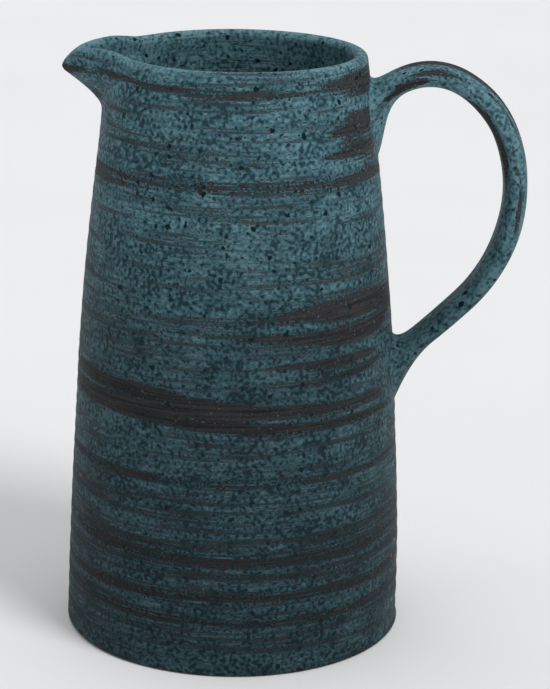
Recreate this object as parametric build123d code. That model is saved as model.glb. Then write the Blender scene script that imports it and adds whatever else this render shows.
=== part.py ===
from build123d import *
from math import cos, radians, sin, tan
import os

# A stoneware pitcher: a tall tapered body with a pulled spout and a strap handle.
# Millimetres, +Z up. The origin is on the body's axis, in the plane that it stands on.
# The handle points along +X and the spout along -X.

# Body: the outside face as (radius, height), from the foot up to where the lip's roll begins.
OUTER_FACE = [(69.4, 0.0), (67.4, 60.0), (64.2, 120.0), (58.5, 180.0), (51.3, 237.1)]
# The inside face, from the start of the cove up to under the lip.
INNER_FACE = [(61.9, 18.0), (60.4, 60.0), (57.7, 120.0), (52.5, 180.0)]
LIP_RADIUS = 2.9
FOOT_EDGE_RADIUS = 1.2
FOOT_RING_INNER_RADIUS = 61.0
FOOT_RECESS = 1.5
FOOT_RING_SLOPE = 1.0
FLOOR_TOP = 8.0
COVE_RADIUS = 10.0
FLOOR_RADIUS = INNER_FACE[0][0] - COVE_RADIUS

# Spout: V-shaped level sections, each given as (height, reach from the body's axis, nose radius).
# The sides of the outer V run out of the rim's outside circle, and those of the trough out of its inside one.
SPOUT_HALF_ANGLE = 45.0
SPOUT_BACK = 36.3
TROUGH_HALF_ANGLE = 42.0
TROUGH_BACK = 30.4
SPOUT_OUTSIDE = [
    (210.0, 52.2, 14.0),
    (216.0, 55.0, 12.0),
    (220.0, 57.4, 9.0),
    (225.0, 62.3, 6.0),
    (229.0, 67.6, 3.6),
    (232.0, 70.5, 2.8),
    (244.0, 71.5, 2.6),
]
SPOUT_TROUGH = [
    (217.0, 44.5, 10.0),
    (222.0, 52.2, 7.0),
    (226.0, 57.0, 4.0),
    (230.0, 61.8, 3.0),
    (234.0, 66.4, 2.0),
    (245.0, 67.4, 1.6),
]
# The lips' top edge seen from the side, as (distance from the body's axis, height).
SPOUT_LIP = [
    (24.0, 239.6),
    (42.0, 239.7),
    (48.0, 240.9),
    (54.0, 241.6),
    (60.0, 240.5),
    (66.0, 237.3),
    (73.0, 231.2),
]
SPOUT_LIP_ROUNDING = 2.0
SPOUT_SEAM_ANGLE = 42.0
SPOUT_SEAM_HEIGHT = 208.0

# Handle: the strap's centre line in the XZ plane, from the upper root round to the lower one.
# It leaves the upper root at an angle to the level, then turns downwards in tangent bends.
STRAP_START = (66.0, 228.4)
STRAP_START_ANGLE = 23.9
# Each bend as (radius, degrees).
STRAP_BENDS = [(25.7, 53.5), (41.7, 38.0), (62.0, 37.8), (66.1, 29.4), (390.0, 3.0)]
STRAP_THICKNESS = 10.5
STRAP_BREADTH = 22.0
# Sections of the roots, from inside the wall outwards, each as outer edge (x, z), inner edge (x, z) and
# breadth.
UPPER_ROOT = [
    ((49.0, 227.6), (52.0, 190.0), 28.5),
    ((53.5, 228.7), (57.2, 201.0), 26.8),
    ((57.0, 229.8), (60.0, 212.8), 24.6),
    ((60.3, 231.4), (63.4, 219.6), 22.8),
]
LOWER_ROOT = [
    ((61.0, 92.0), (57.0, 126.0), 32.0),
    ((66.3, 97.0), (63.2, 124.4), 29.0),
    ((69.4, 103.6), (66.4, 121.8), 25.4),
    ((74.0, 112.0), (69.8, 122.8), 22.8),
]

# How far the cutting shapes run past what they cut, and how far past the V's back the lips' rounding starts.
CLEAR = 60.0
ROUNDING_MARGIN = 1.0


def body_outline():
    """The outside face, the rolled lip and the inside face, down to the start of the cove."""
    outer = Spline(*OUTER_FACE)
    lip = JernArc(outer @ 1, outer % 1, LIP_RADIUS, 180)
    inner = Spline(lip @ 1, *reversed(INNER_FACE), tangents=(lip % 1, Vector(0, -1)))
    return outer, lip, inner


def make_wall():
    """The turned wall with its lip, cove and foot ring, before the spout is pulled."""
    outer, lip, inner = body_outline()
    floor_edge = Vector(FLOOR_RADIUS, FLOOR_TOP)
    cove = CenterArc((FLOOR_RADIUS, FLOOR_TOP + COVE_RADIUS), COVE_RADIUS, 0, -90)
    foot = Polyline(
        floor_edge,
        (FLOOR_RADIUS, FOOT_RECESS),
        (FOOT_RING_INNER_RADIUS, FOOT_RECESS),
        (FOOT_RING_INNER_RADIUS + FOOT_RING_SLOPE, 0),
        outer @ 0,
    )
    section = make_face(Curve() + [outer, lip, inner, cove, foot])
    corner = section.vertices().sort_by(Axis.Y)[:2].sort_by(Axis.X)[-1]
    section = fillet(corner, FOOT_EDGE_RADIUS)
    return revolve(Plane.XZ * section, Axis.Z)


def make_outer_solid():
    """The body's outside shape with no hollow, which trims the handle's roots."""
    outer, lip, _ = body_outline()
    outline = Curve() + [outer, lip, Polyline(lip @ 1, (0, (lip @ 1).Y), (0, 0), outer @ 0)]
    return revolve(Plane.XZ * make_face(outline), Axis.Z)


def make_cavity():
    """The space inside the wall, open at the top."""
    _, lip, inner = body_outline()
    rim = lip @ 1
    below = INNER_FACE[0]
    edges = Polyline(below, (0, below[1]), (0, rim.Y + CLEAR), (rim.X, rim.Y + CLEAR), rim)
    return revolve(Plane.XZ * make_face(Curve() + [inner, edges]), Axis.Z)


def v_section(height, reach, nose, half_angle, back):
    """A level V with a round nose that points along -X."""
    half = radians(half_angle)
    centre = reach - nose
    side_x = centre + nose * sin(half)
    side_y = nose * cos(half)
    back_y = side_y + (side_x - back) * tan(half)
    lines = [
        Line((-back, back_y), (-side_x, side_y)),
        ThreePointArc((-side_x, side_y), (-reach, 0), (-side_x, -side_y)),
        Line((-side_x, -side_y), (-back, -back_y)),
        Line((-back, -back_y), (-back, back_y)),
    ]
    return Pos(0, 0, height) * make_face(Curve() + lines)


def make_spout_cutter():
    """Everything above the drooping line of the spout's lips."""
    lip = Spline(*[(-x, z) for x, z in SPOUT_LIP])
    top = SPOUT_LIP[0][1] + CLEAR
    sides = Polyline(lip @ 1, ((lip @ 1).X, top), ((lip @ 0).X, top), lip @ 0)
    return extrude(Plane.XZ * make_face(Curve() + [lip, sides]), CLEAR, both=True)


def make_spout():
    """The spout's outside, solid, with its drooping top edge rounded."""
    solid = loft([v_section(*row, SPOUT_HALF_ANGLE, SPOUT_BACK) for row in SPOUT_OUTSIDE])
    solid -= make_spout_cutter()
    top = solid.faces().sort_by(Axis.Z)[-1]
    rounded = [edge for edge in top.edges() if edge.center().X < -SPOUT_BACK - ROUNDING_MARGIN]
    return fillet(rounded, SPOUT_LIP_ROUNDING)


def make_body():
    """The wall and its spout as one shape of clay."""
    trough = loft([v_section(*row, TROUGH_HALF_ANGLE, TROUGH_BACK) for row in SPOUT_TROUGH])
    return make_wall() + (make_spout() - make_cavity()) - trough


def make_seam_wedge():
    """The part of the rim that is drawn out into the spout."""
    reach = OUTER_FACE[0][0] * 2
    half_width = reach * tan(radians(SPOUT_SEAM_ANGLE))
    plan = make_face(Polyline((0, 0), (-reach, half_width), (-reach, -half_width), (0, 0)))
    return extrude(Pos(0, 0, SPOUT_SEAM_HEIGHT) * plan, CLEAR)


def make_floor():
    """The floor disc, set up from the foot ring."""
    disc = Cylinder(FLOOR_RADIUS, FLOOR_TOP - FOOT_RECESS, align=(Align.CENTER, Align.CENTER, Align.MIN))
    return Pos(0, 0, FOOT_RECESS) * disc


def oval_section(outer, inner, breadth):
    """An oval across the handle whose thickness runs between two edge points."""
    first = Vector(outer[0], 0, outer[1])
    second = Vector(inner[0], 0, inner[1])
    across = second - first
    plane = Plane((first + second) * 0.5, x_dir=(0, 1, 0), z_dir=across.cross(Vector(0, 1, 0)))
    return plane * Ellipse(breadth / 2, across.length / 2)


def strap_path():
    """The strap's centre line as a chain of tangent arcs in the XZ plane."""
    angle = radians(STRAP_START_ANGLE)
    point = Vector(*STRAP_START)
    heading = Vector(cos(angle), sin(angle))
    arcs = []
    for radius, degrees in STRAP_BENDS:
        arc = JernArc(point, heading, radius, -degrees)
        arcs.append(arc)
        point = arc @ 1
        heading = arc % 1
    return Plane.XZ * (Curve() + arcs)


def strap_end(path, t):
    """The strap's oval at one end of its centre line."""
    return Plane(path @ t, x_dir=(0, 1, 0), z_dir=path % t) * Ellipse(STRAP_BREADTH / 2, STRAP_THICKNESS / 2)


def make_strap(path):
    """The strap between its two roots."""
    return sweep(strap_end(path, 0), path=path)


def make_root(stations, end, outer_solid):
    """A flared root, from the curved face of the wall to one end of the strap."""
    sections = [oval_section(*station) for station in stations]
    return loft(sections + [end]) - outer_solid


def save(name, shape):
    """Writes one sub-part, whose file name is its name in the assembly."""
    shape.label = name
    export_step(shape, f"parts/{name}.step")
    print(name, shape.is_valid, len(shape.solids()), round(shape.volume))


os.makedirs("parts", exist_ok=True)
body = make_body()
seam_wedge = make_seam_wedge()
outer_solid = make_outer_solid()
path = strap_path()
save("body_wall", body - seam_wedge)
save("pouring_spout", body & seam_wedge)
save("base_floor", make_floor())
save("handle_strap", make_strap(path))
save("handle_upper_root", make_root(UPPER_ROOT, strap_end(path, 0), outer_solid))
save("handle_lower_root", make_root(LOWER_ROOT, strap_end(path, 1), outer_solid))
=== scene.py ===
import math

import bpy
import numpy as np
from mathutils import Matrix, Vector


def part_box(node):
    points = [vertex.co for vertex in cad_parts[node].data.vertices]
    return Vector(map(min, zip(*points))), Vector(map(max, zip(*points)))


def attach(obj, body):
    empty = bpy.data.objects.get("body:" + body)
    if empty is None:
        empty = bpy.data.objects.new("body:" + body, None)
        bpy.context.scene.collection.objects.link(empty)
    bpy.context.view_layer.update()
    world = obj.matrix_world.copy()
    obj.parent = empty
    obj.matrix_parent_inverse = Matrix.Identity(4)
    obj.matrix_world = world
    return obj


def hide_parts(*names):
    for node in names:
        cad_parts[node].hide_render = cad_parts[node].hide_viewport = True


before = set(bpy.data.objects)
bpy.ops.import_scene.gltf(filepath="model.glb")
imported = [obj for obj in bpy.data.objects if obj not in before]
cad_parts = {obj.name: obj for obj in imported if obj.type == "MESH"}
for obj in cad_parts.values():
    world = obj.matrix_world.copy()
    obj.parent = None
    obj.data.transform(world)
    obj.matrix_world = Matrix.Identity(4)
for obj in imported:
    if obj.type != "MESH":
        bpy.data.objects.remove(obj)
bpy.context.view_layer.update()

# A stoneware pitcher with a streaked, speckled matte glaze.
# The shapes are worked out in millimetres in the row frame: +Z up, the handle towards +X, the spout towards -X.
# "turn" is the angle round the body's axis from the middle of the spout.
MM = 0.001
_, wall_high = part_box("body_wall")
floor_low, floor_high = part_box("base_floor")
FOOT_RADIUS = wall_high.x / MM
RIM_TOP = wall_high.z / MM
FLOOR_RADIUS = floor_high.x / MM
FLOOR_TOP = floor_high.z / MM
FLOOR_UNDER = floor_low.z / MM

# ---------------------------------------------------------------- body shape
# The outside face as (share of the rim's height, share of the foot's radius).
OUTER_FACE = [(0.0, 1.0), (0.25, 0.9716), (0.5, 0.9254), (0.75, 0.843), (1.0, 0.7345)]
WALL_AT_FOOT = 7.4
WALL_AT_RIM = 5.8
COVE_RADIUS = 10.0
FOOT_RING_INSIDE = 61.0
FOOT_EDGE = 1.5
SEAM_HEIGHT = 208.0
SEAM_TURN = math.radians(42.0)

# Spout: how far the V stands out from the wall at its middle, as (height, mm), the line of the lip's crest
# as (turn in degrees, height), and the wall's thickness as (turn in degrees, mm).
SPOUT_DRAW = [
    (196.0, -24.0), (206.0, -12.5), (212.0, -6.0), (216.0, -1.9), (219.2, 2.0), (222.4, 5.7), (225.6, 9.9),
    (228.8, 14.5), (231.0, 17.6), (232.6, 18.5), (235.0, 18.2), (239.0, 17.5), (243.0, 17.3),
]
SPOUT_HALF_ANGLE = math.radians(46.0)
SPOUT_NOSE = 0.035
SPOUT_BLEND = 2.6
# The V fades out between these turns in degrees, and grows out of the wall between these heights.
SPOUT_FADE = (24.0, 50.0)
SPOUT_GROWTH = (198.0, 212.0)
LIP_CREST = [
    (0.0, 233.4), (1.6, 235.7), (4.0, 238.6), (6.5, 240.2), (11.0, 241.2),
    (16.5, 241.6), (25.0, 240.7), (32.5, 239.8), (42.0, RIM_TOP), (180.0, RIM_TOP),
]
SPOUT_WALL = [(0.0, 2.6), (4.0, 3.2), (8.0, 3.9), (16.0, 4.7), (36.0, WALL_AT_RIM), (180.0, WALL_AT_RIM)]

# The throwing ridges outside, as how far apart and how deep they are low down, and the depth of the grooves inside.
RIDGE_PITCH = 6.9
RIDGE_DEPTH = 0.20
GROOVE_DEPTH = 0.22

# The slow wander of the hand-turned wall, as (height, how far it drifts towards the spout, how much wider it is).
WANDER = [
    (0.0, 0.4, -0.1), (6.0, 0.36, -0.1), (15.0, 0.12, 0.06), (27.0, 0.0, 0.25), (40.0, -0.22, 0.28),
    (55.0, -0.22, 0.16), (70.0, -0.26, 0.0), (86.0, -0.22, -0.22), (100.0, -0.3, -0.15), (118.0, -0.2, 0.0),
    (135.0, -0.12, 0.0), (150.0, 0.0, 0.0), (240.0, 0.0, 0.0),
]

# ---------------------------------------------------------------- handle shape
# The strap's centre line: where it leaves the upper root, its heading there, and its bends as (radius, degrees).
STRAP_START = (66.0, 228.4)
STRAP_HEADING = math.radians(23.9)
STRAP_BENDS = [(25.7, 53.5), (41.7, 38.0), (62.0, 37.8), (66.1, 29.4), (390.0, 3.0)]
# Along the strap: (distance from the upper root, how far the clay was pushed outwards, half its thickness).
STRAP_SHAPE = [
    (0.0, 0.5, 4.65), (12.0, 0.65, 4.7), (24.0, 0.6, 4.8), (40.0, 0.4, 5.1), (60.0, 0.25, 5.0), (75.0, 0.0, 4.75),
    (92.0, -0.15, 4.9), (110.0, -0.25, 4.6), (126.0, -0.4, 4.25), (147.0, -0.6, 4.1),
]
STRAP_HALF_THICKNESS = 4.7
STRAP_HALF_BREADTH = (11.0, 10.6)
STRAP_SQUARENESS = 2.35
# Where each root meets the wall: top, middle and bottom heights, and half its width.
UPPER_FOOTPRINT = (230.0, 219.0, 198.3, 13.4)
LOWER_FOOTPRINT = (123.6, 112.5, 96.3, 16.0)
# How long each root's strands run straight off the strap and along the wall: outer edge, side, inner edge.
# They leave the wall at ROOT_LIFT. Each root ends inside the clay, ROOT_SINK deep and ROOT_INSET in from its edge.
UPPER_PULL = [(7.0, 2.6), (8.0, 6.0), (11.0, 12.0)]
LOWER_PULL = [(9.0, 8.5), (9.0, 7.0), (5.0, 3.0)]
ROOT_LIFT = math.radians(24.0)
ROOT_SINK = 1.2
ROOT_INSET = 0.4

# ---------------------------------------------------------------- brush marks
# Brown slip brushed round the body. Each stroke is how solid it is, then (degrees round from the front, height,
# half its width). Degrees run from the middle of the spout at -90, past the handle at 90, to the spout again at 270.
# The mark "brush" is how far inside a stroke's edge a point is, in mm, from BRUSH_NONE to how solid the stroke is.
BRUSH_NONE = -2.0
SOLID = 2.0
DRY = 0.35
BODY_STROKES = [
    (SOLID, [(-90, 114.4, 2.5), (-60, 114.7, 2.8), (-35, 113.9, 3.4), (-12, 111.3, 3.6), (10, 109.4, 2.9),
             (30, 108.6, 2.4), (56, 108.2, 1.9), (78, 107.0, 1.4), (120, 108.0, 1.6), (170, 110.5, 2.4),
             (220, 113.4, 2.8), (270, 114.4, 2.5)]),
    (SOLID, [(-90, 106.2, 2.3), (-60, 107.1, 3.0), (-35, 107.2, 4.0), (-12, 105.2, 3.6), (10, 102.6, 2.5),
             (30, 101.8, 1.8), (56, 101.5, 1.4), (80, 101.0, 1.2), (120, 101.6, 1.5), (170, 103.0, 2.0),
             (220, 104.6, 2.6), (270, 106.2, 2.3)]),
    (DRY, [(-4, 146.4, -0.5), (6, 146.4, 1.2), (20, 146.4, 2.6), (34, 146.2, -0.4)]),
    (SOLID, [(17, 146.8, -0.6), (24, 146.8, 2.4), (40, 146.4, 4.3), (60, 146.2, 4.9), (76, 144.7, 4.6),
             (100, 143.0, 4.0), (130, 141.5, 2.6), (150, 140.6, -0.4)]),
    (DRY, [(-12, 139.0, -0.5), (0, 138.8, 1.0), (14, 138.2, 2.2), (30, 137.0, -0.4)]),
    (SOLID, [(8, 138.2, -0.5), (15, 138.0, 1.4), (30, 136.8, 3.0), (50, 136.1, 4.3), (64, 137.0, 3.6),
             (80, 139.2, 1.6), (104, 138.5, 2.2), (150, 135.5, 1.4), (176, 134.5, -0.4)]),
    (SOLID, [(10, 127.0, -0.3), (22, 126.6, 1.3), (40, 126.0, 2.1), (56, 126.3, 1.3), (64, 126.6, -0.3)]),
    (SOLID, [(12, 118.8, -0.3), (30, 119.4, 1.0), (50, 120.6, 1.8), (62, 122.2, 1.1), (72, 124.6, -0.3)]),
    (DRY, [(-90, 194.3, 3.2), (-60, 195.0, 2.8), (-35, 195.8, 2.2), (-10, 196.3, 1.9), (15, 196.5, 1.7),
           (40, 196.2, 2.0), (60, 196.0, 2.9), (85, 195.6, 3.0), (130, 194.8, 1.6), (200, 194.0, 1.8),
           (270, 194.3, 3.2)]),
    (SOLID, [(44, 195.8, -0.3), (58, 195.7, 1.9), (84, 195.4, 2.4), (112, 195.0, 1.2), (126, 194.8, -0.3)]),
    (SOLID, [(-90, 193.6, 1.2), (-68, 194.0, 1.1), (-52, 194.6, -0.3)]),
    (DRY, [(34, 232.2, -0.3), (48, 232.0, 2.4), (62, 231.5, 4.2), (80, 231.0, 4.8), (100, 231.2, 3.5),
           (124, 231.8, -0.3)]),
    (SOLID, [(50, 231.4, -0.3), (60, 231.4, 2.4), (76, 231.0, 3.2), (92, 231.0, -0.3)]),
    (DRY, [(50, 218.6, -0.4), (56, 218.8, 2.0), (78, 219.0, 2.2), (104, 218.6, 1.4), (128, 218.0, -0.3)]),
    (SOLID, [(38, 214.6, -0.4), (46, 214.8, 1.6), (62, 215.0, 2.4), (82, 215.0, 2.6), (96, 214.8, -0.3)]),
    (DRY, [(46, 210.4, -0.4), (52, 210.6, 1.8), (66, 210.8, 2.3), (82, 210.8, 2.2), (104, 210.4, 1.4),
           (130, 210.0, -0.3)]),
    (SOLID, [(34, 206.0, -0.4), (44, 206.2, 1.5), (62, 206.4, 2.6), (82, 206.6, 3.0), (96, 206.6, -0.3)]),
    (DRY, [(56, 202.6, -0.3), (64, 202.8, 1.4), (90, 203.0, 1.6), (104, 203.0, -0.3)]),
    (DRY, [(-90, 79.4, 1.3), (-40, 79.9, 1.4), (0, 80.2, 1.4), (50, 79.8, 1.3), (120, 79.2, 1.0),
           (200, 79.0, 1.4), (270, 79.4, 1.3)]),
    (SOLID, [(-78, 79.6, -0.2), (-55, 79.8, 0.8), (-20, 80.1, 0.9), (30, 80.0, 0.8), (58, 79.7, -0.2)]),
    (SOLID, [(-76, 234.2, -0.2), (-66, 233.6, 0.9), (-50, 232.6, 1.0), (-34, 231.9, 0.5), (-22, 231.6, -0.2)]),
    (DRY, [(-60, 233.0, -0.2), (-30, 231.8, 1.2), (0, 231.4, 1.2), (30, 231.2, 0.8), (48, 231.4, -0.2)]),
    (SOLID, [(-90, 231.0, 2.4), (-87, 231.4, 2.1), (-83, 232.6, 1.3), (-79, 233.4, 0.7), (-76, 233.8, -0.3)]),
    (DRY, [(-90, 221.5, 3.0), (-86, 222.0, 2.4), (-82, 223.0, -0.3)]),
    (DRY, [(-90, 50.0, 1.0), (-40, 49.0, 2.0), (20, 48.5, 1.6), (90, 49.5, 1.4), (180, 50.5, 1.8), (270, 50.0, 1.0)]),
    (DRY, [(-90, 33.0, 1.4), (-40, 32.6, 1.8), (20, 33.4, 1.6), (90, 32.8, 1.8), (180, 33.6, 1.6), (270, 33.0, 1.4)]),
    (DRY, [(-90, 22.6, 1.0), (-40, 23.4, 1.4), (20, 22.6, 1.6), (90, 23.0, 1.4), (180, 22.4, 1.5), (270, 22.6, 1.0)]),
]
# The share of the wall where brown shows through the teal, by height.
COVERAGE = [
    (0, 0.02), (4, 0.08), (8, 0.16), (12, 0.32), (17, 0.30), (22, 0.36), (28, 0.24), (33, 0.42), (38, 0.26),
    (42, 0.56), (46, 0.50), (50, 0.34), (54, 0.50), (58, 0.34), (62, 0.18), (66, 0.36), (72, 0.32), (77, 0.08),
    (80, 0.42), (84, 0.10), (90, 0.24), (97, 0.26), (102, 0.22), (115, 0.16), (122, 0.14), (130, 0.22),
    (140, 0.28), (150, 0.20), (160, 0.18), (170, 0.20), (178, 0.16), (187, 0.28), (191, 0.28), (196, 0.40),
    (201, 0.04), (207, 0.20), (214, 0.24), (220, 0.14), (226, 0.20), (231, 0.28), (236, 0.08), (242, 0.0),
]
# Where the roots were smoothed on, the teal is unbroken: (degrees, height, half width in degrees, half height).
ROOT_SMEARS = [(90.0, 213.0, 17.0, 19.5), (90.0, 112.0, 27.0, 19.0)]
# Half of the way round the strap, and the share of brown on it. The share is below zero, because the teal there is
# unbroken between the strokes.
STRAP_ROUND = 27.0
HANDLE_COVERAGE = -0.16
# Strokes along the handle: how solid, begin, end, the middle round from the outer edge towards -Y, half the width.
# They begin and end at distances along the strap from its upper end, and taper over this length.
STROKE_TAPER = 14.0
HANDLE_STROKES = [
    (SOLID, -6.0, 118.0, 0.0, 2.4),
    (DRY, -6.0, 150.0, -3.0, 2.2),
    (SOLID, 22.0, 76.0, 21.0, 2.8),
    (SOLID, -1.0, 27.0, 10.4, 2.4),
    (SOLID, -15.0, 15.0, 14.0, 2.7),
    (DRY, 24.0, 62.0, 6.0, 0.7),
    (SOLID, 66.0, 94.0, 11.6, 1.8),
    (SOLID, 40.0, 90.0, -12.0, 0.9),
    (DRY, 10.0, 120.0, -18.0, 1.4),
]

# Grid sizes.
SPOUT_COLUMNS = 84
WALL_COLUMNS = 236
OUTER_ROWS = 188
RIM_ROWS = 26
LIP_ROWS = 12
INNER_ROWS = 36
COVE_ROWS = 8
FOOT_EDGE_ROWS = 4
FLOOR_RINGS = 18
STRAP_ROWS = 170
ROOT_ROWS = 30
STRAP_COLUMNS = 96
# A slope of the outside face is measured between two points this far apart in height.
SLOPE_SPAN = 0.5
# How much closer together the columns are at the spout's nose.
NOSE_CROWDING = 1.35


def smooth_curve(points, x):
    """A smooth line through a few points that never overshoots them."""
    px, py = np.array(points, float).T
    step = np.diff(px)
    slope = np.diff(py) / step
    inner = np.where(
        slope[:-1] * slope[1:] > 0,
        2 * slope[:-1] * slope[1:] / np.where(slope[:-1] + slope[1:] == 0, 1, slope[:-1] + slope[1:]),
        0.0,
    )
    tangent = np.concatenate([slope[:1], inner, slope[-1:]])
    x = np.clip(x, px[0], px[-1])
    k = np.clip(np.searchsorted(px, x, side="right") - 1, 0, len(step) - 1)
    t = (x - px[k]) / step[k]
    a = (1 + 2 * t) * (1 - t) ** 2 * py[k] + t * (1 - t) ** 2 * step[k] * tangent[k]
    b = t * t * (3 - 2 * t) * py[k + 1] + t * t * (t - 1) * step[k] * tangent[k + 1]
    return a + b


def smoothstep(low, high, x):
    t = np.clip((x - low) / (high - low), 0, 1)
    return t * t * (3 - 2 * t)


def folded(turn):
    """A turn either way from zero, as 0 to pi."""
    return np.abs((turn + math.pi) % (2 * math.pi) - math.pi)


def closed(count):
    """The numbers of a ring's rows or columns, with the first again at the end."""
    return list(range(count)) + [0]


PROFILE = np.polyfit([h for h, _ in OUTER_FACE], [s for _, s in OUTER_FACE], len(OUTER_FACE) - 1)


def wall_radius(z):
    return FOOT_RADIUS * np.polyval(PROFILE, z / RIM_TOP)


def spout_swell(turn, z):
    """How far the outside face stands out from the turned wall because of the spout."""
    radius = wall_radius(z)
    side = np.sqrt(turn**2 + SPOUT_NOSE**2) - SPOUT_NOSE
    reach = radius + smooth_curve(SPOUT_DRAW, z)
    drawn = reach * math.sin(SPOUT_HALF_ANGLE) / np.sin(SPOUT_HALF_ANGLE + side) - radius
    swell = (drawn + np.sqrt(drawn**2 + SPOUT_BLEND**2)) / 2
    fade = 1 - smoothstep(*SPOUT_FADE, np.degrees(turn))
    return swell * fade * smoothstep(*SPOUT_GROWTH, z)


def ridges(turn, z):
    """Throwing ridges that climb round the wall, deeper lower down and fading towards the lip."""
    climb = z / RIDGE_PITCH + turn / (2 * math.pi)
    drift = 0.55 * np.sin(z / 19.0 + 1.3) + 0.2 * np.sin(2 * turn + z / 31.0)
    wave = np.abs(np.cos(math.pi * (climb + drift))) ** 1.4 - 0.45
    depth = RIDGE_DEPTH - 0.11 * z / RIM_TOP + 0.05 * np.sin(z / 13.0 + 1.1 * np.sin(turn))
    return depth * wave * smoothstep(0, 9, z) * (1 - smoothstep(222, 236, z))


def unevenness(turn, z):
    """The slow wander of a hand-turned wall."""
    height, drift, width = zip(*WANDER)
    wander = smooth_curve(list(zip(height, drift)), z) * np.cos(turn) + smooth_curve(list(zip(height, width)), z)
    oval = 0.2 * np.sin(2 * turn) * np.sin(z / 70.0) + 0.12 * np.sin(turn) * np.sin(3 * turn - z / 60.0)
    return wander + oval * (1 - smoothstep(205, 232, z))


def outside(turn, z):
    """The radius of the finished outside face."""
    return wall_radius(z) + spout_swell(folded(turn), z) + ridges(turn, z) + unevenness(turn, z)


def column_turns():
    """The angles of the grid's columns, closer together towards the spout's nose."""
    u = np.linspace(-1, 1, SPOUT_COLUMNS + 1)
    spout = SEAM_TURN * np.sign(u) * np.abs(u) ** NOSE_CROWDING
    rest = np.linspace(SEAM_TURN, 2 * math.pi - SEAM_TURN, WALL_COLUMNS + 1)
    return np.concatenate([spout[:-1], rest[:-1]])


def rim_section(turn, away):
    """The wall from the seam's height up, over the lip and down again, for every column."""
    thick = smooth_curve(SPOUT_WALL, np.degrees(away))
    across = np.sin(np.minimum(SPOUT_HALF_ANGLE + away, math.pi / 2))
    thick = thick / across
    crest = smooth_curve(LIP_CREST, np.degrees(away))
    end = crest - thick / 2
    for _ in range(6):
        rise = (outside(turn, end) - outside(turn, end - SLOPE_SPAN)) / SLOPE_SPAN
        lean = rise / np.sqrt(1 + rise**2)
        end = crest - thick / 2 * (1 + lean)
    share = np.linspace(0, 1, RIM_ROWS + 1)[:, None]
    z = SEAM_HEIGHT + (end - SEAM_HEIGHT) * share
    r = outside(turn[None, :], z)
    below = outside(turn[None, :], z - SLOPE_SPAN / 2)
    above = outside(turn[None, :], z + SLOPE_SPAN / 2)
    rise = (above - below) / SLOPE_SPAN
    size = np.sqrt(1 + rise**2)
    up_r, up_z = rise / size, 1 / size
    full = wall_thickness(z)
    thickness = full + (thick - full) * smoothstep(0, 1, share)
    inner_r = r - up_z * thickness
    inner_z = z + up_r * thickness
    middle_r = (r[-1] + inner_r[-1]) / 2
    middle_z = (z[-1] + inner_z[-1]) / 2
    roll = np.linspace(0, math.pi, LIP_ROWS + 1)[1:-1, None]
    half = thickness[-1] / 2
    lip_r = middle_r + half * (up_z[-1] * np.cos(roll) + up_r[-1] * np.sin(roll))
    lip_z = middle_z + half * (-up_r[-1] * np.cos(roll) + up_z[-1] * np.sin(roll))
    rows_r = np.concatenate([r, lip_r, inner_r[::-1]])
    rows_z = np.concatenate([z, lip_z, inner_z[::-1]])
    return rows_r, rows_z


def wall_thickness(z):
    return WALL_AT_FOOT + (WALL_AT_RIM - WALL_AT_FOOT) * np.clip(z / RIM_TOP, 0, 1)


def inside_rows(turn, top_z, top_r):
    """The inside face from the seam's height down to the cove, with a few finger grooves."""
    cove_top = FLOOR_TOP + COVE_RADIUS
    share = np.linspace(0, 1, INNER_ROWS + 1)[1:, None]
    z = top_z[None, :] + (cove_top - top_z[None, :]) * share
    plain = wall_radius(z) - wall_thickness(z)
    groove = GROOVE_DEPTH * np.sin(z / 2.6 + turn[None, :]) * smoothstep(cove_top, cove_top + 12, z)
    offset = top_r - (wall_radius(top_z) - wall_thickness(top_z))
    r = plain + offset[None, :] * (1 - smoothstep(0, 0.15, share)) + groove * smoothstep(0, 0.1, share)
    foot_r = FLOOR_RADIUS + COVE_RADIUS
    r = r + (foot_r - plain[-1]) * smoothstep(0.8, 1, share)
    return r, z


def cove_rows():
    """The round corner between the inside face and the floor, then the foot ring back to the outside."""
    turn = np.linspace(0, math.pi / 2, COVE_ROWS + 1)[1:]
    r = FLOOR_RADIUS + COVE_RADIUS * np.cos(turn)
    z = FLOOR_TOP + COVE_RADIUS * (1 - np.sin(turn))
    under = [(FLOOR_RADIUS, FLOOR_UNDER), (FLOOR_RADIUS + 5, FLOOR_UNDER), (FOOT_RING_INSIDE - 0.4, FLOOR_UNDER)]
    under += [(FOOT_RING_INSIDE + 0.2, FLOOR_UNDER - 0.35), (FOOT_RING_INSIDE + 0.7, 0.25)]
    under += [(FOOT_RING_INSIDE + 1.4, 0.0), (FOOT_RING_INSIDE + 4.0, 0.0)]
    edge = np.linspace(0, math.pi / 2, FOOT_EDGE_ROWS + 1)[:-1]
    centre = FOOT_RADIUS - FOOT_EDGE
    under += [(centre + FOOT_EDGE * math.sin(a), FOOT_EDGE - FOOT_EDGE * math.cos(a)) for a in edge]
    under_r, under_z = np.array(under).T
    return np.concatenate([r, under_r]), np.concatenate([z, under_z])


def body_grid():
    """Every point of the wall and spout, as rows round the section by columns round the axis."""
    turn = column_turns()
    wall_z = np.linspace(FOOT_EDGE, SEAM_HEIGHT, OUTER_ROWS + 1)[:-1, None] * np.ones_like(turn)[None, :]
    wall_r = outside(turn[None, :], wall_z)
    rim_r, rim_z = rim_section(turn, folded(turn))
    in_r, in_z = inside_rows(turn, rim_z[-1], rim_r[-1])
    cove_r, cove_z = cove_rows()
    ones = np.ones_like(turn)[None, :]
    r = np.concatenate([wall_r, rim_r, in_r, cove_r[:, None] * ones])
    z = np.concatenate([wall_z, rim_z, in_z, cove_z[:, None] * ones])
    points = np.stack([-r * np.cos(turn), -r * np.sin(turn), z], axis=-1)
    return points, turn


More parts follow.
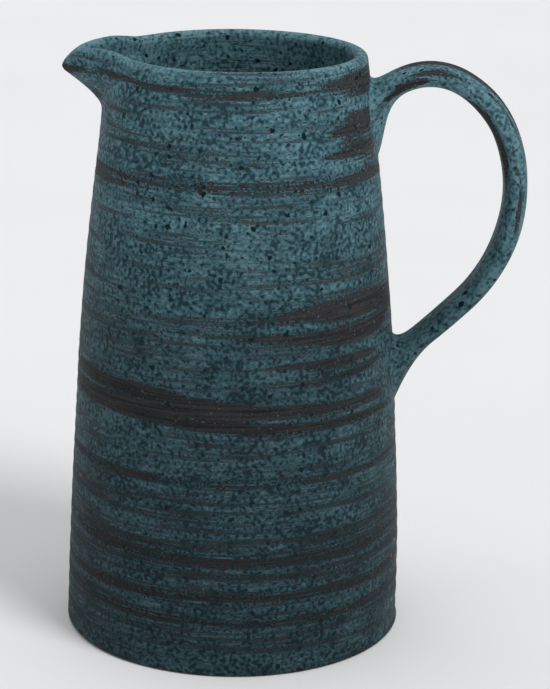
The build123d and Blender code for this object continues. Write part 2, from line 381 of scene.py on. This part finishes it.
def grid_normals(points, round_rows):
    """Smooth normals of a grid that closes on itself across its columns, and across its rows if asked."""
    across = np.roll(points, -1, axis=1) - np.roll(points, 1, axis=1)
    if round_rows:
        along = np.roll(points, -1, axis=0) - np.roll(points, 1, axis=0)
    else:
        along = np.gradient(points, axis=0)
    normal = np.cross(across, along)
    size = np.linalg.norm(normal, axis=-1, keepdims=True)
    return normal / np.maximum(size, 1e-9)


class Piece:
    """Collects faces of a shared grid, and caps with their own flat normals, into one closed mesh."""

    def __init__(self, name, points, normals, marks):
        self.name = name
        self.points = points.reshape(-1, 3)
        self.normals = normals.reshape(-1, 3)
        self.marks = {mark: values.reshape(-1) for mark, values in marks.items()}
        self.extra = []
        self.faces = []
        self.smooth = []
        self.slots = []

    def add(self, faces, smooth=True, slot=0):
        faces = [tuple(int(i) for i in face) for face in faces]
        self.faces += faces
        self.smooth += [smooth] * len(faces)
        self.slots += [slot] * len(faces)

    def point(self, position):
        self.extra.append(position)
        return len(self.points) + len(self.extra) - 1

    def build(self, materials):
        points = np.concatenate([self.points, np.array(self.extra).reshape(-1, 3)])
        used = sorted({i for face in self.faces for i in face})
        place = {old: new for new, old in enumerate(used)}
        mesh = bpy.data.meshes.new(self.name)
        mesh.from_pydata((points[used] * MM).tolist(), [], [[place[i] for i in f] for f in self.faces])
        for material in materials:
            mesh.materials.append(material)
        mesh.polygons.foreach_set("material_index", self.slots)
        mesh.polygons.foreach_set("use_smooth", [True] * len(self.faces))
        mesh.update()
        loops = []
        for face, polygon, smooth in zip(self.faces, mesh.polygons, self.smooth):
            flat = tuple(polygon.normal)
            loops += [tuple(self.normals[i]) if smooth and i < len(self.points) else flat for i in face]
        mesh.normals_split_custom_set(loops)
        for mark, values in self.marks.items():
            layer = mesh.attributes.new(mark, "FLOAT", "POINT")
            layer.data.foreach_set("value", np.concatenate([values, np.zeros(len(self.extra))])[used])
        ob = bpy.data.objects.new(self.name, mesh)
        bpy.context.scene.collection.objects.link(ob)
        return ob


def quads(rows, columns, index):
    """Faces between neighbouring rows and columns of a grid of point numbers."""
    found = []
    for a, b in zip(rows[:-1], rows[1:]):
        for c, d in zip(columns[:-1], columns[1:]):
            found.append((index[a, c], index[a, d], index[b, d], index[b, c]))
    return found


def fan(ring, centre, flip):
    """Triangles from a ring of point numbers to its centre."""
    around = zip(ring, np.roll(ring, -1))
    return [(b, a, centre) if flip else (a, b, centre) for a, b in around]


def body_marks(points, turn):
    """Where the brush left brown slip on the wall, and how much of it shows elsewhere."""
    z = points[..., 2]
    around = np.degrees(turn)[None, :] * np.ones_like(z) - 90
    around = (around + 90) % 360 - 90
    rows = np.arange(len(points))[:, None] * np.ones_like(z)
    inside = smoothstep(OUTER_ROWS + RIM_ROWS + 2, OUTER_ROWS + RIM_ROWS + LIP_ROWS, rows)
    inside[-FOOT_EDGE_ROWS:] = 0
    # The lip mark keeps brown off the lip's crest, and in the glaze it makes the lip paler as a painted highlight.
    lip = 1 - np.abs(rows - (OUTER_ROWS + RIM_ROWS + LIP_ROWS / 2 - 1)) / (LIP_ROWS / 2 + 1)
    brush = np.full_like(z, BRUSH_NONE)
    for solid, stroke in BODY_STROKES:
        where, height, half = np.array(stroke).T
        middle = smooth_curve(list(zip(where, height)), around)
        size = smooth_curve(list(zip(where, half)), around)
        within = (around >= where[0]) & (around <= where[-1])
        reach = np.minimum(size - np.abs(z - middle), solid)
        brush = np.maximum(brush, np.where(within, reach, BRUSH_NONE))
    brush = brush + (BRUSH_NONE - brush) * inside
    cover = smooth_curve(COVERAGE, z) * (1 - inside) * (1 - np.clip(lip, 0, 1))
    for middle_around, middle_z, wide, high in ROOT_SMEARS:
        gap = np.sqrt(((around - middle_around) / wide) ** 2 + ((z - middle_z) / high) ** 2)
        keep = smoothstep(0.75, 1.1, gap)
        brush = BRUSH_NONE + (brush - BRUSH_NONE) * keep
        cover = cover * keep
    return {"brush": brush, "cover": cover, "inside": inside, "lip": np.clip(lip, 0, 1)}


def build_body(glaze, clay):
    """The wall with its foot ring, and the spout, cut apart along the seam but shaded as one surface."""
    points, turn = body_grid()
    normals = grid_normals(points, round_rows=True)
    rows, columns = points.shape[:2]
    low = OUTER_ROWS
    high = OUTER_ROWS + 2 * RIM_ROWS + LIP_ROWS
    cove_end = high + INNER_ROWS + COVE_ROWS
    normals[cove_end] = (0, 0, 1)
    normals[cove_end + 1] = (0, 0, -1)
    index = np.arange(rows * columns).reshape(rows, columns)
    ring_rows = closed(rows)
    ring_columns = closed(columns)
    spout_rows = list(range(low, high + 1))
    spout_columns = list(range(SPOUT_COLUMNS + 1))
    rest_columns = list(range(SPOUT_COLUMNS, columns)) + [0]
    marks = body_marks(points, turn)
    wall = Piece("glazed_wall", points, normals, marks)
    wall.add(quads(ring_rows[: low + 1], ring_columns, index))
    wall.add(quads(ring_rows[high : cove_end + 1], ring_columns, index))
    wall.add(quads(ring_rows[cove_end : rows - FOOT_EDGE_ROWS + 1], ring_columns, index), slot=1)
    wall.add(quads(ring_rows[rows - FOOT_EDGE_ROWS :], ring_columns, index))
    wall.add(quads(spout_rows, rest_columns, index))
    spout = Piece("glazed_spout", points, normals, marks)
    spout.add(quads(spout_rows, spout_columns, index))
    pairs = [(spout_rows[k], spout_rows[-1 - k]) for k in range(len(spout_rows) // 2 + 1)]
    caps = []
    for column, flip in ((spout_columns[0], False), (spout_columns[-1], True)):
        for (a, b), (c, d) in zip(pairs[:-1], pairs[1:]):
            if a < b and c <= d:
                face = [index[a, column], index[c, column], index[d, column], index[b, column]]
                face = [face[0], face[1], face[3]] if c == d else face
                caps.append(face[::-1] if flip else face)
    for a, b in zip(spout_columns[:-1], spout_columns[1:]):
        caps.append([index[low, a], index[high, a], index[high, b], index[low, b]])
    spout.add(caps, smooth=False)
    wall.add([face[::-1] for face in caps], smooth=False)
    return wall.build([glaze, clay]), spout.build([glaze])


def build_floor(glaze, clay):
    """The floor disc, with the spiral that the thrower's finger left on top and wire marks underneath."""
    turn = column_turns()
    share = np.linspace(0, 1, FLOOR_RINGS + 1)[1:]
    radius = FLOOR_RADIUS * share[:, None] * np.ones_like(turn)
    edge = 1 - smoothstep(0.86, 1.0, share[:, None])
    spiral = 0.28 * np.cos(radius * 2 * math.pi / 9.0 - turn) * edge * smoothstep(0, 0.2, share[:, None])
    along = radius * np.cos(turn + 0.5)
    wire = 0.12 * np.sin(radius * np.sin(turn + 0.5) / 1.9 + 0.0006 * along**2) * edge
    r = np.concatenate([radius, radius[::-1]])
    z = np.concatenate([FLOOR_TOP + spiral, FLOOR_UNDER - wire[::-1]])
    points = np.stack([-r * np.cos(turn), -r * np.sin(turn), z], axis=-1)
    normals = -grid_normals(points, round_rows=False)
    normals[FLOOR_RINGS - 1] = (0, 0, 1)
    normals[FLOOR_RINGS] = (0, 0, -1)
    rows, columns = points.shape[:2]
    index = np.arange(rows * columns).reshape(rows, columns)
    flat = np.zeros(points.shape[:2])
    marks = {"brush": flat + BRUSH_NONE, "cover": flat, "inside": flat + 1, "lip": flat}
    ring_columns = closed(columns)[::-1]
    disc = Piece("floor_disc", points, normals, marks)
    disc.add(quads(list(range(FLOOR_RINGS)), ring_columns, index))
    disc.add(quads(list(range(FLOOR_RINGS - 1, rows)), ring_columns, index), slot=1)
    top = disc.point((0, 0, FLOOR_TOP))
    under = disc.point((0, 0, FLOOR_UNDER))
    disc.add(fan(index[0], top, flip=False), smooth=False)
    disc.add(fan(index[-1], under, flip=True), smooth=False, slot=1)
    return disc.build([glaze, clay])


# ---------------------------------------------------------------- handle
def strap_line(count):
    """Places along the strap's centre line, the heading at each, and how far along each one is."""
    lengths = [radius * math.radians(angle) for radius, angle in STRAP_BENDS]
    along = np.linspace(0, sum(lengths), count)
    x = np.zeros(count)
    z = np.zeros(count)
    heading = np.zeros(count)
    here_x, here_z = STRAP_START
    here_heading = STRAP_HEADING
    begun = 0.0
    for (radius, _), length in zip(STRAP_BENDS, lengths):
        on = along >= begun
        now = here_heading - (along - begun) / radius
        x = np.where(on, here_x + radius * (math.sin(here_heading) - np.sin(now)), x)
        z = np.where(on, here_z + radius * (np.cos(now) - math.cos(here_heading)), z)
        heading = np.where(on, now, heading)
        last = here_heading - length / radius
        here_x += radius * (math.sin(here_heading) - math.sin(last))
        here_z += radius * (math.cos(last) - math.cos(here_heading))
        here_heading = last
        begun += length
    return x, z, heading, along


def strap_rings(angle):
    """Rings round the strap: "angle" goes from its outer edge towards -Y."""
    x, z, heading, along = strap_line(STRAP_ROWS + 1)
    share = (along / along[-1])[:, None]
    where, pushed, half = zip(*STRAP_SHAPE)
    push = smooth_curve(list(zip(where, pushed)), along)[:, None]
    thick = smooth_curve(list(zip(where, half)), along)[:, None]
    broad = STRAP_HALF_BREADTH[0] + (STRAP_HALF_BREADTH[1] - STRAP_HALF_BREADTH[0]) * share
    ends = np.sin(math.pi * share) ** 0.5
    broad = broad + 0.3 * np.sin(along / 17.0)[:, None] * ends
    power = 2 / STRAP_SQUARENESS
    out = thick * np.sign(np.cos(angle)) * np.abs(np.cos(angle)) ** power
    side = broad * np.sign(np.sin(angle)) * np.abs(np.sin(angle)) ** power
    pulled = 0.13 * np.cos(7 * angle[None, :] + 0.5 * np.sin(along / 23.0)[:, None]) * ends
    out = out + pulled * np.cos(angle) + push
    side = side + pulled * np.sin(angle)
    points = np.stack([
        x[:, None] - out * np.sin(heading)[:, None],
        -side,
        z[:, None] + out * np.cos(heading)[:, None],
    ], axis=-1)
    return points, heading, along


def on_wall(y, z):
    """Points on the handle's side of the wall, and the wall's normals there."""
    def place(y, z):
        turn = np.full_like(y, math.pi)
        for _ in range(4):
            turn = math.pi + np.arcsin(y / outside(turn, z))
        r = outside(turn, z)
        return np.stack([-r * np.cos(turn), -r * np.sin(turn), z], axis=-1)

    here = place(y, z)
    step = 0.6
    across = place(y + step, z) - place(y - step, z)
    up = place(y, z + step) - place(y, z - step)
    normal = np.cross(across, up)
    return here, normal / np.linalg.norm(normal, axis=-1, keepdims=True)


def root_rings(ring, heading, footprint, pull, angle, upside):
    """Rings of a root, from the strap's end to the wall, whose strands ease off one and onto the other."""
    top, middle, bottom, half = footprint
    rise = np.cos(angle) * upside
    y = -half * np.sin(angle)
    z = middle + np.where(rise > 0, (top - middle) * rise, (middle - bottom) * rise)
    foot, wall_normal = on_wall(y, z)
    inward = on_wall(y * 0.7, middle + (z - middle) * 0.7)[0] - foot
    inward = inward / np.linalg.norm(inward, axis=-1, keepdims=True)
    stations = np.degrees([0, math.pi / 2, math.pi])
    fold = np.degrees(folded(angle))
    off_strap = smooth_curve([(s, p[0]) for s, p in zip(stations, pull)], fold)[:, None]
    off_wall = smooth_curve([(s, p[1]) for s, p in zip(stations, pull)], fold)[:, None]
    ahead = np.array([math.cos(heading), 0, math.sin(heading)])
    near = ring + ahead * off_strap
    far = foot + (inward * math.cos(ROOT_LIFT) + wall_normal * math.sin(ROOT_LIFT)) * off_wall
    t = np.linspace(0, 1, ROOT_ROWS + 1)[1:, None, None]
    rings = (1 - t) ** 3 * ring + 3 * t * (1 - t) ** 2 * near + 3 * t**2 * (1 - t) * far + t**3 * foot
    sunk = foot + inward * ROOT_INSET - wall_normal * ROOT_SINK
    return rings, wall_normal, sunk


def handle_marks(points, angle, along):
    """Where the brush ran along the handle, with places along and across it for lengthwise streaks."""
    half_round = np.where(angle > math.pi, angle - 2 * math.pi, angle)[None, :]
    across = half_round * STRAP_ROUND / math.pi * np.ones_like(points[..., 0])
    far = along[:, None] * np.ones_like(across)
    brush = np.full_like(across, BRUSH_NONE)
    for solid, begin, end, middle, half in HANDLE_STROKES:
        starting = smoothstep(begin, begin + STROKE_TAPER, far)
        ending = smoothstep(end - STROKE_TAPER, end, far)
        taper = np.minimum(starting, 1 - ending)
        drift = middle + 0.7 * np.sin(far / 15.0 + middle)
        gap = np.abs((across - drift + STRAP_ROUND) % (2 * STRAP_ROUND) - STRAP_ROUND)
        reach = np.minimum(half * taper - gap, solid)
        brush = np.maximum(brush, np.where(taper > 0, reach, BRUSH_NONE))
    flat = np.zeros_like(across)
    return {
        "brush": brush, "cover": flat + HANDLE_COVERAGE, "inside": flat, "lip": flat,
        "along": far, "out": STRAP_HALF_THICKNESS * np.cos(angle) + flat,
        "side": STRAP_HALF_BREADTH[0] * np.sin(angle) + flat,
    }


def build_handle(glaze):
    """The strap and its two roots, cut apart where the strap ends but shaded as one surface."""
    angle = np.linspace(0, 2 * math.pi, STRAP_COLUMNS + 1)[:-1]
    strap, heading, along = strap_rings(angle)
    upper = root_rings(strap[0], heading[0] + math.pi, UPPER_FOOTPRINT, UPPER_PULL, angle, 1)
    lower = root_rings(strap[-1], heading[-1], LOWER_FOOTPRINT, LOWER_PULL, angle, -1)
    points = np.concatenate([upper[0][::-1], strap, lower[0]])
    middles = points.mean(axis=1)
    gaps = np.linalg.norm(np.diff(middles, axis=0), axis=1)
    places = np.concatenate([[0], np.cumsum(gaps)])
    places = places - places[ROOT_ROWS]
    normals = grid_normals(points, round_rows=False)
    normals[0] = upper[1]
    normals[-1] = lower[1]
    marks = handle_marks(points, angle, places)
    rows, columns = points.shape[:2]
    index = np.arange(rows * columns).reshape(rows, columns)
    ring_columns = closed(columns)
    first, last = ROOT_ROWS, ROOT_ROWS + STRAP_ROWS
    spans = [
        ("upper_root", 0, first, upper[2], None),
        ("pulled_strap", first, last, None, None),
        ("lower_root", last, rows - 1, None, lower[2]),
    ]
    built = []
    for name, begin, end, sunk_begin, sunk_end in spans:
        piece = Piece(name, points, normals, marks)
        piece.add(quads(list(range(begin, end + 1)), ring_columns, index))
        for row, sunk, flip in ((begin, sunk_begin, True), (end, sunk_end, False)):
            ring = index[row]
            if sunk is not None:
                deep = np.array([piece.point(tuple(p)) for p in sunk])
                pairs = zip(ring, np.roll(ring, -1), np.roll(deep, -1), deep)
                skirt = [(a, d, c, b) if flip else (a, b, c, d) for a, b, c, d in pairs]
                piece.add(skirt, smooth=False)
                ring = deep
                centre = piece.point(tuple(np.mean(sunk, axis=0)))
            else:
                centre = piece.point(tuple(points[row].mean(axis=0)))
            piece.add(fan(ring, centre, flip), smooth=False)
        built.append(piece.build([glaze]))
    return built


# ---------------------------------------------------------------- materials
TEAL_DEEP = (0.018, 0.047, 0.058)
TEAL_MIDDLE = (0.052, 0.125, 0.152)
TEAL_PALE = (0.125, 0.245, 0.280)
SLIP_DARK = (0.0140, 0.0138, 0.0150)
SLIP_PALE = (0.044, 0.0425, 0.0455)
SPECKLE = (0.003, 0.013, 0.016)
GLAZE_SPECULAR = 0.08
CLAY_DARK = (0.075, 0.050, 0.038)
CLAY_PALE = (0.180, 0.128, 0.098)
# The colour sockets of a Mix node.
MIX_FIRST, MIX_SECOND, MIX_RESULT = 6, 7, 2


class Shader:
    """Builds the nodes of one material, with positions measured in millimetres."""

    def __init__(self, name):
        self.material = bpy.data.materials.new(name)
        self.material.use_nodes = True
        self.nodes = self.material.node_tree.nodes
        self.links = self.material.node_tree.links
        self.surface = self.nodes["Principled BSDF"]

    def put(self, socket, value):
        if isinstance(value, bpy.types.NodeSocket):
            self.links.new(value, socket)
        elif isinstance(value, tuple) and len(value) == 3 and socket.type == "RGBA":
            socket.default_value = (*value, 1)
        else:
            socket.default_value = value

    def position(self):
        place = self.nodes.new("ShaderNodeTexCoord").outputs["Object"]
        return self.scaled(place, (1 / MM, 1 / MM, 1 / MM))

    def scaled(self, vector, scale):
        node = self.nodes.new("ShaderNodeVectorMath")
        node.operation = "MULTIPLY"
        self.put(node.inputs[0], vector)
        self.put(node.inputs[1], scale)
        return node.outputs[0]

    def mark(self, name):
        node = self.nodes.new("ShaderNodeAttribute")
        node.attribute_name = name
        return node.outputs["Fac"]

    def vector(self, x, y, z):
        node = self.nodes.new("ShaderNodeCombineXYZ")
        for socket, value in zip(node.inputs, (x, y, z)):
            self.put(socket, value)
        return node.outputs[0]

    def height(self, vector):
        node = self.nodes.new("ShaderNodeSeparateXYZ")
        self.put(node.inputs[0], vector)
        return node.outputs["Z"]

    def math(self, operation, a, b=0.0, c=0.0):
        node = self.nodes.new("ShaderNodeMath")
        node.operation = operation
        for socket, value in zip(node.inputs, (a, b, c)):
            self.put(socket, value)
        return node.outputs[0]

    def add(self, *terms):
        """Adds up (value, factor) pairs and plain values."""
        total = 0.0
        for term in terms:
            if isinstance(term, tuple):
                total = self.math("MULTIPLY_ADD", term[0], term[1], total)
            else:
                total = self.math("ADD", total, term)
        return total

    def noise(self, vector, period=1.0, detail=2.0, roughness=0.5, distortion=0.0):
        node = self.nodes.new("ShaderNodeTexNoise")
        self.put(node.inputs["Vector"], vector)
        self.put(node.inputs["Scale"], 1.0 / period)
        self.put(node.inputs["Detail"], detail)
        self.put(node.inputs["Roughness"], roughness)
        self.put(node.inputs["Distortion"], distortion)
        return node.outputs["Fac"]

    def cells(self, vector, period):
        """The distance in mm to the middle of a random cell, and the cell's own chance from 0 to 1."""
        node = self.nodes.new("ShaderNodeTexVoronoi")
        self.put(node.inputs["Vector"], vector)
        self.put(node.inputs["Scale"], 1.0 / period)
        split = self.nodes.new("ShaderNodeSeparateColor")
        self.put(split.inputs[0], node.outputs["Color"])
        return self.math("MULTIPLY", node.outputs["Distance"], period), split.outputs[0]

    def step(self, value, low, high, start=0.0, end=1.0):
        """Eases from start to end as the value goes from low to high."""
        node = self.nodes.new("ShaderNodeMapRange")
        node.interpolation_type = "SMOOTHSTEP"
        for name, setting in (("Value", value), ("From Min", low), ("From Max", high)):
            self.put(node.inputs[name], setting)
        self.put(node.inputs["To Min"], start)
        self.put(node.inputs["To Max"], end)
        return node.outputs[0]

    def mix(self, share, a, b):
        node = self.nodes.new("ShaderNodeMix")
        node.data_type = "RGBA"
        self.put(node.inputs[0], share)
        self.put(node.inputs[MIX_FIRST], a)
        self.put(node.inputs[MIX_SECOND], b)
        return node.outputs[MIX_RESULT]

    def finish(self, colour, roughness, height):
        bump = self.nodes.new("ShaderNodeBump")
        self.put(bump.inputs["Distance"], MM)
        self.put(bump.inputs["Height"], height)
        self.put(self.surface.inputs["Base Color"], colour)
        self.put(self.surface.inputs["Roughness"], roughness)
        self.put(self.surface.inputs["Normal"], bump.outputs[0])
        return self.material


def clay_look(sh, place):
    """Bare stoneware: colour, roughness and height."""
    grog = sh.noise(place, 0.9, 3.0, 0.6)
    patches = sh.noise(place, 14.0, 2.0)
    colour = sh.mix(sh.step(sh.add((grog, 0.7), (patches, 0.3)), 0.38, 0.62), CLAY_DARK, CLAY_PALE)
    gap, chance = sh.cells(place, 2.6)
    iron = sh.math("MULTIPLY", sh.step(gap, 0.45, 0.25), sh.step(chance, 0.55, 0.6))
    colour = sh.mix(iron, colour, SLIP_DARK)
    height = sh.add((grog, 0.16), (sh.noise(place, 0.35, 2.0), 0.05), (iron, -0.05))
    return colour, sh.step(grog, 0.3, 0.7, 0.78, 0.92), height


def bare_clay(name):
    sh = Shader(name)
    return sh.finish(*clay_look(sh, sh.position()))


def glaze(name, streak_place, calm):
    """Teal glaze stippled over brown slip, with dark iron speckles. Calm is how smooth and pale the teal is."""
    sh = Shader(name)
    place = sh.position()
    z = sh.height(place)
    brush, cover, inside, lip = (sh.mark(mark) for mark in ("brush", "cover", "inside", "lip"))
    grain = sh.noise(place, 1.6, 2.0, 0.4)
    fine = sh.noise(place, 0.42, 2.0, 0.5)
    cloud = sh.noise(place, 11.0, 2.0)

    # Brown slip: long brushed lines where the glaze is thin, and the strokes.
    wide, narrow, lines = streak_place(sh, place)
    broad_lines = sh.noise(wide, 1.0, 2.0, 0.5)
    thin_lines = sh.noise(narrow, 1.0, 2.0, 0.5)
    field = sh.add((broad_lines, 0.58), (thin_lines, 0.64), (grain, 0.60), (cloud, 0.12), -0.47)
    limit = sh.add((cover, -0.32), 0.66)
    over = sh.math("SUBTRACT", field, limit)
    streaks = sh.step(over, -0.015, 0.03)
    ragged = sh.add((brush, 0.9), (grain, 5.0), (thin_lines, 5.0), (cloud, 1.6), -5.7)
    strokes = sh.step(ragged, -0.10, 0.30)
    scores = sh.math("MULTIPLY", sh.step(lines, 0.64, 0.69), sh.step(grain, 0.62, 0.45))
    thin_slip = sh.math("MAXIMUM", sh.math("MULTIPLY", streaks, 0.86), sh.math("MULTIPLY", scores, 0.5))
    slip = sh.math("MAXIMUM", thin_slip, strokes)
    fleck = sh.step(sh.noise(place, 1.0, 1.0), 0.645, 0.69)
    slip = sh.math("MULTIPLY", slip, sh.add((fleck, -0.75), 1.0))

    # Teal: stippled in three tones, paler at the lip, which is a painted highlight, paler inside, and deeper low
    # down, which is painted shade.
    # Painted shade: the teal is made a little deeper low down.
    low_painted_shade = sh.step(z, 10.0, 170.0, -0.01, 0.0)
    # The lip term makes the teal paler on the lip's top: a painted highlight.
    tone = sh.add((grain, 0.78), (fine, 0.10), (cloud, 0.36), (lip, 0.10), (inside, 0.06), calm - 0.105, low_painted_shade)
    teal = sh.mix(sh.step(tone, 0.40, 0.52), TEAL_DEEP, TEAL_MIDDLE)
    teal = sh.mix(sh.step(tone, 0.50, 0.70), teal, TEAL_PALE)
    brown = sh.mix(sh.step(sh.add((thin_lines, 0.6), (fine, 0.4)), 0.36, 0.64), SLIP_DARK, SLIP_PALE)

    # Painted shade: both are made darker towards the foot, except inside, standing in for the shade the lower body
    # gets under light from above.
    teal_painted_shade = sh.math("MULTIPLY", sh.step(z, 105.0, 210.0, 0.50, 0.98), sh.step(z, 0.0, 90.0, 0.74, 1.0))
    teal_painted_shade = sh.math("MAXIMUM", teal_painted_shade, inside)
    slip_painted_shade = sh.math("MAXIMUM", sh.step(z, 40.0, 185.0, 0.52, 1.0), inside)
    colour = sh.mix(slip, sh.scaled(teal, teal_painted_shade), sh.scaled(brown, slip_painted_shade))

    # Iron speckles, small and many, large and few, with ragged edges.
    small_gap, small_chance = sh.cells(place, 2.8)
    small = sh.step(sh.add((small_gap, 0.9), (fine, 0.5), (grain, 1.6), (small_chance, 0.7)), 1.86, 1.60)
    large_gap, large_chance = sh.cells(place, 6.5)
    large = sh.step(sh.add((large_gap, 1.0), (grain, 2.6), (large_chance, 1.2)), 2.66, 2.34)
    speckle = sh.math("MAXIMUM", sh.math("MULTIPLY", small, 0.75), large)
    colour = sh.mix(speckle, colour, SPECKLE)

    rough = sh.add((fine, 0.12), (slip, 0.06), 0.50)
    rough = sh.math("MULTIPLY", rough, sh.add((speckle, -0.6), 1.0))
    height = sh.add((thin_lines, 0.10), (slip, -0.05), (grain, 0.09), (fine, 0.05), (speckle, 0.05), (lines, -0.12))

    # The glaze stops about half a millimetre above the face that the pitcher stands on, and the clay shows below it.
    clay, clay_rough, clay_height = clay_look(sh, place)
    glaze_line = sh.add((z, 1.0), (sh.noise(place, 5.0, 2.0), -0.8), (grain, -0.3))
    outside_share = sh.math("SUBTRACT", 1.0, inside)
    bare = sh.math("MULTIPLY", sh.step(glaze_line, 0.05, -0.15), outside_share)
    colour = sh.mix(bare, colour, clay)
    rough = sh.math("MULTIPLY_ADD", sh.math("SUBTRACT", clay_rough, rough), bare, rough)
    height = sh.math("MULTIPLY_ADD", sh.math("SUBTRACT", clay_height, height), bare, height)
    sh.surface.inputs["Specular IOR Level"].default_value = GLAZE_SPECULAR
    return sh.finish(colour, rough, height)


def body_streaks(sh, place):
    """Stretched places for the wide and narrow level lines round the body, and how strong its fine scores are."""
    wide = sh.scaled(place, (0.016, 0.016, 0.30))
    narrow = sh.scaled(place, (0.034, 0.034, 0.95))
    turning = sh.noise(sh.scaled(place, (0.010, 0.010, 0.95)), 1.0, 1.0)
    return wide, narrow, turning


def handle_streaks(sh, place):
    """Stretched places for the wide and narrow lines along the handle, and how strong its fine scores are."""
    along, out, side = (sh.mark(mark) for mark in ("along", "out", "side"))
    local = sh.vector(along, out, side)
    wide = sh.scaled(local, (0.02, 0.33, 0.33))
    narrow = sh.scaled(local, (0.045, 0.9, 0.9))
    pulling = sh.noise(sh.scaled(local, (0.01, 0.8, 0.8)), 1.0, 1.0)
    return wide, narrow, pulling


body_glaze = glaze("body_glaze", body_streaks, 0.0)
handle_glaze = glaze("handle_glaze", handle_streaks, 0.075)
clay = bare_clay("bare_clay")
wall, spout = build_body(body_glaze, clay)
disc = build_floor(body_glaze, clay)
upper_root, strap, lower_root = build_handle(handle_glaze)
for piece, node, slot in (
    (wall, "body_wall", "speckled_glaze"),
    (spout, "pouring_spout", "speckled_glaze"),
    (disc, "base_floor", "bare_clay"),
    (upper_root, "handle_upper_root", "speckled_glaze"),
    (strap, "handle_strap", "speckled_glaze"),
    (lower_root, "handle_lower_root", "speckled_glaze"),
):
    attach(piece, "root")
    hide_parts(node)

# ---------------------------------------------------------------- studio
CAMERA_PLACE = (0.0161, -0.978, 0.4149)
CAMERA_DOWN = 16.90
CAMERA_ROLL = 0.94
CAMERA_LENS = 130.06
SENSOR_WIDTH = 36.0
FLOOR_HALF = 6.0
FLOOR_DARK = (0.84, 0.84, 0.85)
FLOOR_PALE = (0.88, 0.88, 0.88)
SKY_COLOUR = (0.97, 0.985, 1.0)
SKY_STRENGTH = 0.46


def studio_floor():
    mesh = bpy.data.meshes.new("studio_floor")
    corners = [(x * FLOOR_HALF, y * FLOOR_HALF, 0) for x, y in ((-1, -1), (1, -1), (1, 1), (-1, 1))]
    mesh.from_pydata(corners, [], [(0, 1, 2, 3)])
    floor = bpy.data.objects.new("studio_floor", mesh)
    bpy.context.scene.collection.objects.link(floor)
    sh = Shader("pale_floor")
    sheet = sh.noise(sh.position(), 160.0, 2.0)
    mesh.materials.append(sh.finish(sh.mix(sheet, FLOOR_DARK, FLOOR_PALE), 0.7, 0.0))


def sun(name, place, softness, strength):
    """A sun that shines from a place towards the origin. Its softness is in degrees."""
    light = bpy.data.lights.new(name, "SUN")
    light.energy = strength
    light.angle = math.radians(softness)
    ob = bpy.data.objects.new(name, light)
    ob.rotation_euler = (-Vector(place)).to_track_quat("-Z", "Y").to_euler()
    bpy.context.scene.collection.objects.link(ob)


def make_camera():
    data = bpy.data.cameras.new("camera")
    data.lens = CAMERA_LENS
    data.sensor_width = SENSOR_WIDTH
    data.clip_start = 0.05
    camera = bpy.data.objects.new("camera", data)
    camera.location = CAMERA_PLACE
    down = Matrix.Rotation(math.radians(90 - CAMERA_DOWN), 3, "X")
    camera.rotation_euler = (down @ Matrix.Rotation(math.radians(CAMERA_ROLL), 3, "Z")).to_euler()
    bpy.context.scene.collection.objects.link(camera)
    bpy.context.scene.camera = camera


def make_world():
    world = bpy.data.worlds.new("studio")
    world.use_nodes = True
    background = world.node_tree.nodes["Background"]
    background.inputs["Color"].default_value = (*SKY_COLOUR, 1)
    background.inputs["Strength"].default_value = SKY_STRENGTH
    bpy.context.scene.world = world


bpy.context.scene.view_settings.view_transform = "Standard"
studio_floor()
make_camera()
make_world()
sun("key", (0.82, -0.76, 1.25), 22.0, 1.52)
sun("top", (-0.1, 0.15, 1.0), 50.0, 0.64)
